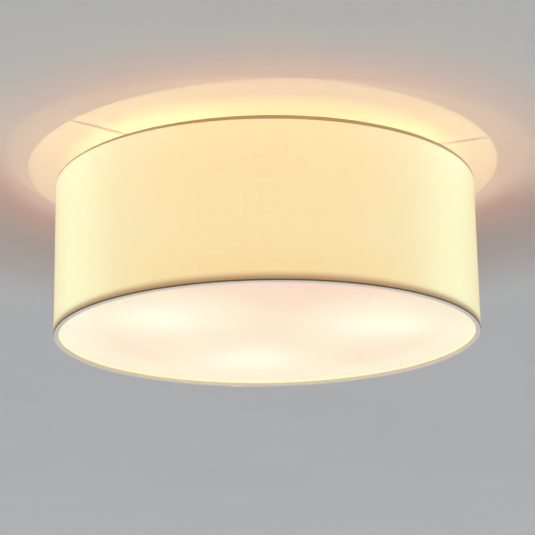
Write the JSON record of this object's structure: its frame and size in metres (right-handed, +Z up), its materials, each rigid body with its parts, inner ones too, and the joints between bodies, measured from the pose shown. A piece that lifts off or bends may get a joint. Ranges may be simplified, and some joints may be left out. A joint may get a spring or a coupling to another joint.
{
  "type": "flush mount ceiling light",
  "caption": "Flush mount ceiling light: a round cloth drum shade with an opal bottom disc, hung from a shallow pressed pan with screw-in lamps.",
  "frame": {"origin": "centre of the strap's fixing face on the ceiling", "axes": "+Z up into the ceiling, +X along the strap and its slots, +Y towards the first lamp"},
  "size_m": [0.4, 0.4005, 0.17],
  "materials": {
    "zinc_steel": "bright zinc plate, satin",
    "nickel": "satin nickel plate",
    "white_pan": "white powder coat, satin",
    "white_wire": "white dipped steel wire",
    "block_nylon": "natural nylon",
    "brass": "bright pressed brass",
    "tinned_lug": "tinned copper",
    "live_lead": "brown insulation",
    "neutral_lead": "blue insulation",
    "earth_lead": "green insulation with a yellow stripe",
    "holder_plastic": "white thermoset plastic, fine grain",
    "opal_glass": "opal glass, lit",
    "bulb_cap": "rolled thread shell",
    "bulb_insulator": "black vitrite",
    "solder": "solder",
    "shade_cloth": "plain woven cream cloth, glued to the liner, lit from inside",
    "shade_liner": "translucent white laminate sheet",
    "opal_acrylic": "opal acrylic sheet, lit from above"
  },
  "bodies": {
    "canopy": {"mounting_strap": "zinc_steel", "strap_screws": "zinc_steel", "cap_washers": "nickel", "cap_nuts": "nickel", "ceiling_pan": "white_pan", "pan_studs": "zinc_steel", "terminal_block": "block_nylon", "terminal_tubes": "brass", "terminal_screws": "zinc_steel", "earth_lug": "tinned_lug", "earth_screw": "zinc_steel", "holder_screws": "zinc_steel", "live_leads": "live_lead", "neutral_leads": "neutral_lead", "earth_lead": "earth_lead", "lamp_holder_1": "holder_plastic", "holder_sleeve_1": "brass", "holder_contact_1": "brass", "lamp_holder_2": "holder_plastic", "holder_sleeve_2": "brass", "holder_contact_2": "brass", "lamp_holder_3": "holder_plastic", "holder_sleeve_3": "brass", "holder_contact_3": "brass"},
    "shade": {"shade_cloth": "shade_cloth", "seam_lap": "shade_cloth", "shade_liner": "shade_liner", "top_ring": "white_wire", "bottom_ring": "white_wire", "carrier_arms": "white_wire", "nut_washers": "nickel"},
    "disc": {"opal_disc": "opal_acrylic"},
    "bulb_1": {"bulb_globe_1": "opal_glass", "bulb_cap_1": "bulb_cap", "bulb_insulator_1": "bulb_insulator", "bulb_end_contact_1": "solder"},
    "nut_1": {"knurled_nut_1": "nickel"},
    "bulb_2": {"bulb_globe_2": "opal_glass", "bulb_cap_2": "bulb_cap", "bulb_insulator_2": "bulb_insulator", "bulb_end_contact_2": "solder"},
    "nut_2": {"knurled_nut_2": "nickel"},
    "bulb_3": {"bulb_globe_3": "opal_glass", "bulb_cap_3": "bulb_cap", "bulb_insulator_3": "bulb_insulator", "bulb_end_contact_3": "solder"},
    "nut_3": {"knurled_nut_3": "nickel"}
  },
  "joints": [
    {"name": "shade_drop", "type": "slide", "parent": "canopy", "child": "shade", "axis": [0, 0, -1], "range_m": [0, 0.2]},
    {"name": "disc_lift", "type": "slide", "parent": "shade", "child": "disc", "axis": [0, 0, 1], "range_m": [0, 0.015]},
    {"name": "bulb_1_turn", "type": "hinge", "parent": "canopy", "child": "bulb_1", "pos_m": [0, 0.095, -0.05], "axis": [0, 0, 1], "continuous": true},
    {"name": "nut_1_turn", "type": "hinge", "parent": "shade", "child": "nut_1", "pos_m": [0, 0.134, -0.028], "axis": [0, 0, 1], "continuous": true},
    {"name": "bulb_2_turn", "type": "hinge", "parent": "canopy", "child": "bulb_2", "pos_m": [-0.08227, -0.0475, -0.05], "axis": [0, 0, 1], "continuous": true},
    {"name": "nut_2_turn", "type": "hinge", "parent": "shade", "child": "nut_2", "pos_m": [-0.11605, -0.067, -0.028], "axis": [0, 0, 1], "continuous": true},
    {"name": "bulb_3_turn", "type": "hinge", "parent": "canopy", "child": "bulb_3", "pos_m": [0.08227, -0.0475, -0.05], "axis": [0, 0, 1], "continuous": true},
    {"name": "nut_3_turn", "type": "hinge", "parent": "shade", "child": "nut_3", "pos_m": [0.11605, -0.067, -0.028], "axis": [0, 0, 1], "continuous": true}
  ]
}
